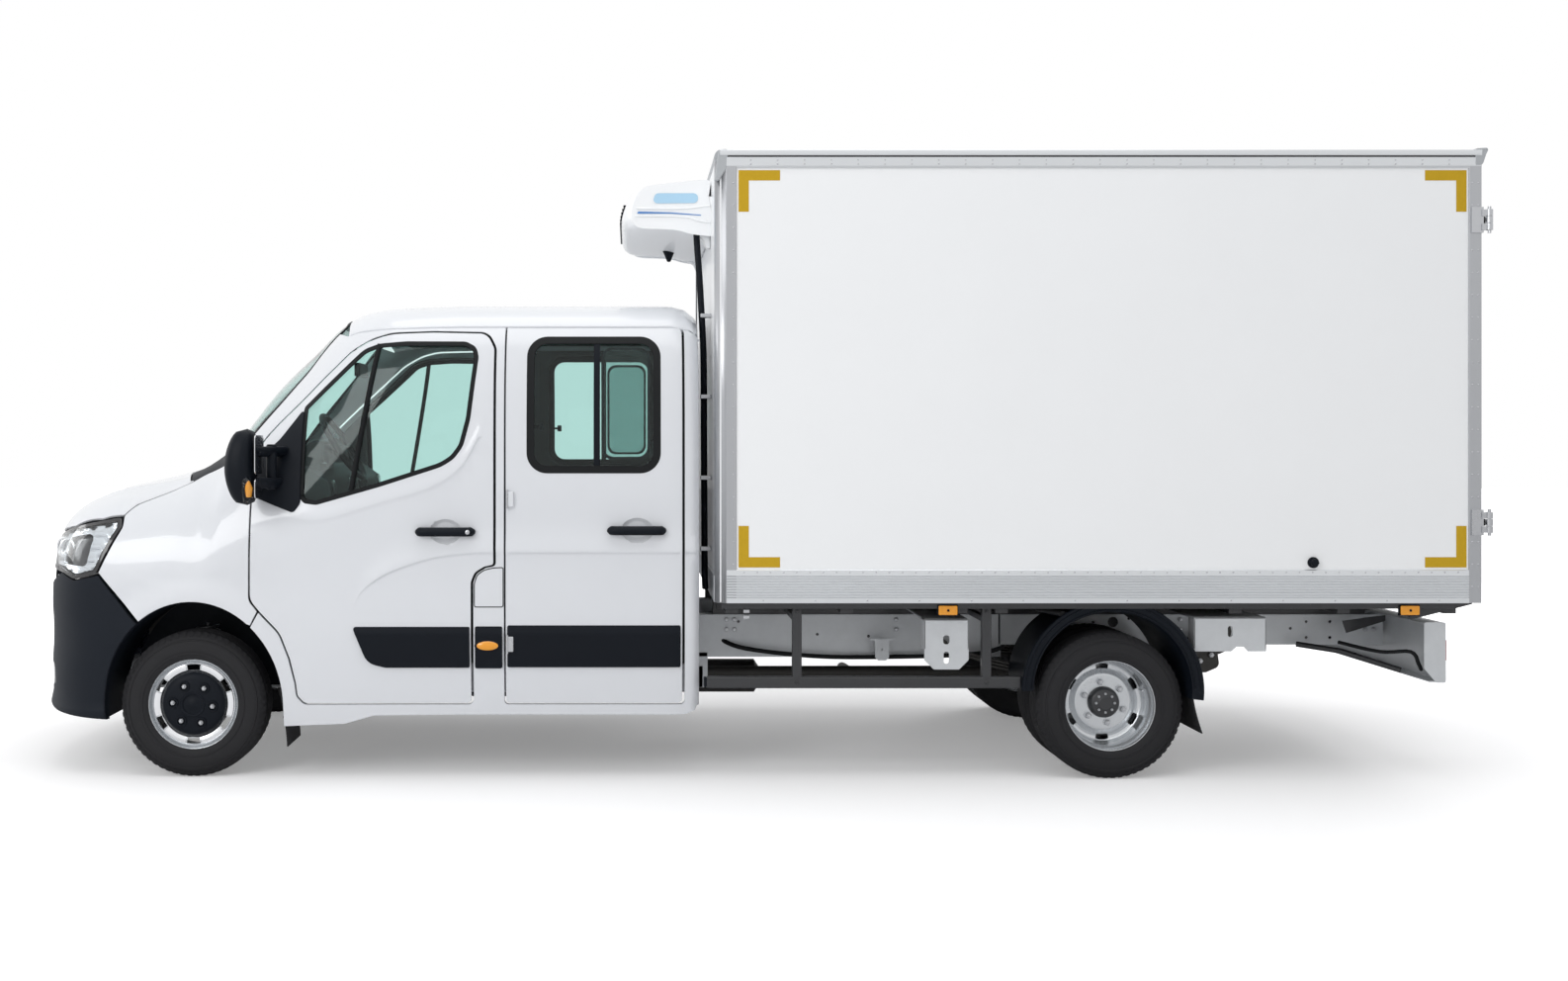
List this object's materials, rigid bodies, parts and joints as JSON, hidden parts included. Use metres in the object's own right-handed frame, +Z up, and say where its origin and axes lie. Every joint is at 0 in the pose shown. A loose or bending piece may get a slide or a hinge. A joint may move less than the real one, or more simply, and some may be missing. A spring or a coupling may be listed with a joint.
{
  "type": "refrigerated crew cab box truck",
  "caption": "Light truck with a four-door crew cab, twin rear wheels and an insulated box body with a front-mounted refrigeration unit, opening doors and steering.",
  "frame": {"origin": "middle of the truck's length and width, on the ground", "axes": "-X is the truck's front, -Y its left side, +Z up"},
  "size_m": [6.956, 2.59, 2.95],
  "materials": {
    "white_paint": "gloss",
    "panel": "gloss",
    "floor_panel": "satin",
    "galvanised": "satin",
    "black_steel": "satin",
    "dark_steel": "satin",
    "bright_steel": "satin",
    "alloy": "satin",
    "black_plastic": "matt",
    "grey_plastic": "matt",
    "lamp": "gloss",
    "red_lamp": "gloss",
    "glass": "gloss",
    "tyre": "matt",
    "rim_steel": "satin",
    "seat_fabric": "matt",
    "iron": "matt"
  },
  "bodies": {
    "truck": {"chassis_frame": "galvanised", "box_subframe": "black_steel", "box_floor": "floor_panel", "box_left_wall": "panel", "box_right_wall": "panel", "box_front_wall": "panel", "box_roof": "panel", "box_rear_frame": "alloy", "refrigeration_unit": "panel", "cab_body": "white_paint", "front_wings": "white_paint", "front_bumper": "grey_plastic", "front_grille": "black_plastic", "headlights": "lamp", "windscreen": "glass", "dashboard": "grey_plastic", "steering_wheel": "black_plastic", "seats": "seat_fabric", "engine_block": "iron", "front_axle": "dark_steel", "rear_axle": "dark_steel", "leaf_springs": "dark_steel", "driveshaft": "dark_steel", "exhaust": "dark_steel", "fuel_tank": "grey_plastic", "mudguards": "black_plastic", "side_guards": "black_steel", "rear_bumper": "bright_steel", "tail_lights": "red_lamp"},
    "bonnet": {"bonnet": "white_paint"},
    "front_door_left": {"front_door_left": "white_paint", "front_glass_left": "glass", "mirror_left": "black_plastic"},
    "front_door_right": {"front_door_right": "white_paint", "front_glass_right": "glass", "mirror_right": "black_plastic"},
    "crew_door_left": {"crew_door_left": "white_paint", "crew_glass_left": "glass"},
    "crew_door_right": {"crew_door_right": "white_paint", "crew_glass_right": "glass"},
    "cargo_door_left": {"cargo_door_left": "panel", "lock_rods_left": "bright_steel"},
    "cargo_door_right": {"cargo_door_right": "panel", "lock_rods_right": "bright_steel"},
    "knuckle_left": {"knuckle_left": "dark_steel"},
    "knuckle_right": {"knuckle_right": "dark_steel"},
    "front_wheel_left": {"front_tyre_left": "tyre", "front_rim_left": "rim_steel"},
    "front_wheel_right": {"front_tyre_right": "tyre", "front_rim_right": "rim_steel"},
    "rear_wheels_left": {"rear_tyres_left": "tyre", "rear_rims_left": "rim_steel"},
    "rear_wheels_right": {"rear_tyres_right": "tyre", "rear_rims_right": "rim_steel"}
  },
  "joints": [
    {"name": "bonnet_hinge", "type": "hinge", "parent": "truck", "child": "bonnet", "pos_m": [-2.6845, 0, 1.497], "axis": [0, 1, 0], "range_deg": [0, 55]},
    {"name": "front_door_left_hinge", "type": "hinge", "parent": "truck", "child": "front_door_left", "pos_m": [-2.3165, -1.04, 1], "axis": [0, -0.0262, -0.9997], "range_deg": [0, 50]},
    {"name": "front_door_right_hinge", "type": "hinge", "parent": "truck", "child": "front_door_right", "pos_m": [-2.3165, 1.04, 1], "axis": [0, -0.0262, 0.9997], "range_deg": [0, 50]},
    {"name": "crew_door_left_hinge", "type": "hinge", "parent": "truck", "child": "crew_door_left", "pos_m": [-1.1165, -1.04, 1], "axis": [0, -0.0262, -0.9997], "range_deg": [0, 70]},
    {"name": "crew_door_right_hinge", "type": "hinge", "parent": "truck", "child": "crew_door_right", "pos_m": [-1.1165, 1.04, 1], "axis": [0, -0.0262, 0.9997], "range_deg": [0, 70]},
    {"name": "cargo_door_left_hinge", "type": "hinge", "parent": "truck", "child": "cargo_door_left", "pos_m": [3.4625, -1.084, 1.9], "axis": [0, 0, -1], "range_deg": [0, 240]},
    {"name": "cargo_door_right_hinge", "type": "hinge", "parent": "truck", "child": "cargo_door_right", "pos_m": [3.4625, 1.084, 1.9], "axis": [0, 0, 1], "range_deg": [0, 240]},
    {"name": "steering_left", "type": "hinge", "parent": "truck", "child": "knuckle_left", "pos_m": [-2.6145, -0.69, 0.345], "axis": [0, 0, 1], "range_deg": [-35, 35]},
    {"name": "steering_right", "type": "hinge", "parent": "truck", "child": "knuckle_right", "pos_m": [-2.6145, 0.69, 0.345], "axis": [0, 0, 1], "range_deg": [-35, 35]},
    {"name": "front_wheel_left_spin", "type": "hinge", "parent": "knuckle_left", "child": "front_wheel_left", "pos_m": [-2.6145, -0.875, 0.345], "axis": [0, 1, 0], "continuous": true},
    {"name": "front_wheel_right_spin", "type": "hinge", "parent": "knuckle_right", "child": "front_wheel_right", "pos_m": [-2.6145, 0.875, 0.345], "axis": [0, 1, 0], "continuous": true},
    {"name": "rear_wheels_left_spin", "type": "hinge", "parent": "truck", "child": "rear_wheels_left", "pos_m": [1.7175, -0.806, 0.345], "axis": [0, 1, 0], "continuous": true},
    {"name": "rear_wheels_right_spin", "type": "hinge", "parent": "truck", "child": "rear_wheels_right", "pos_m": [1.7175, 0.806, 0.345], "axis": [0, 1, 0], "continuous": true}
  ],
  "couplings": [
    {"joint": "steering_right", "follows": "steering_left", "ratio": 1}
  ]
}
